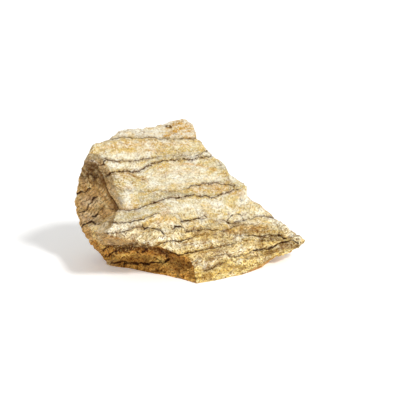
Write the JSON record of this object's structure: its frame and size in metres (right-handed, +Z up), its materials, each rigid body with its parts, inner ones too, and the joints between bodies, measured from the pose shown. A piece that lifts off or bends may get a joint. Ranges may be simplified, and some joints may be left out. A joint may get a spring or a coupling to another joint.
{
  "type": "rough picture jasper",
  "caption": "Rough lump of banded picture jasper with a broad pale face, thin dark seams and a flat underside that it rests on.",
  "frame": {"origin": "on the ground, in the middle of the lump's footprint box", "axes": "+X along the lump's length, from the blunt recessed end to the thin tip; +Y away from the broad pale face, which looks towards -Y and leans back; +Z up from the flat underside"},
  "size_m": [0.1162, 0.068, 0.0728],
  "materials": {
    "jasper": "rough broken stone, matt, cream to golden brown in thin uneven bands with dark brown seams"
  },
  "bodies": {
    "root": {"stone": "jasper"}
  },
  "joints": []
}
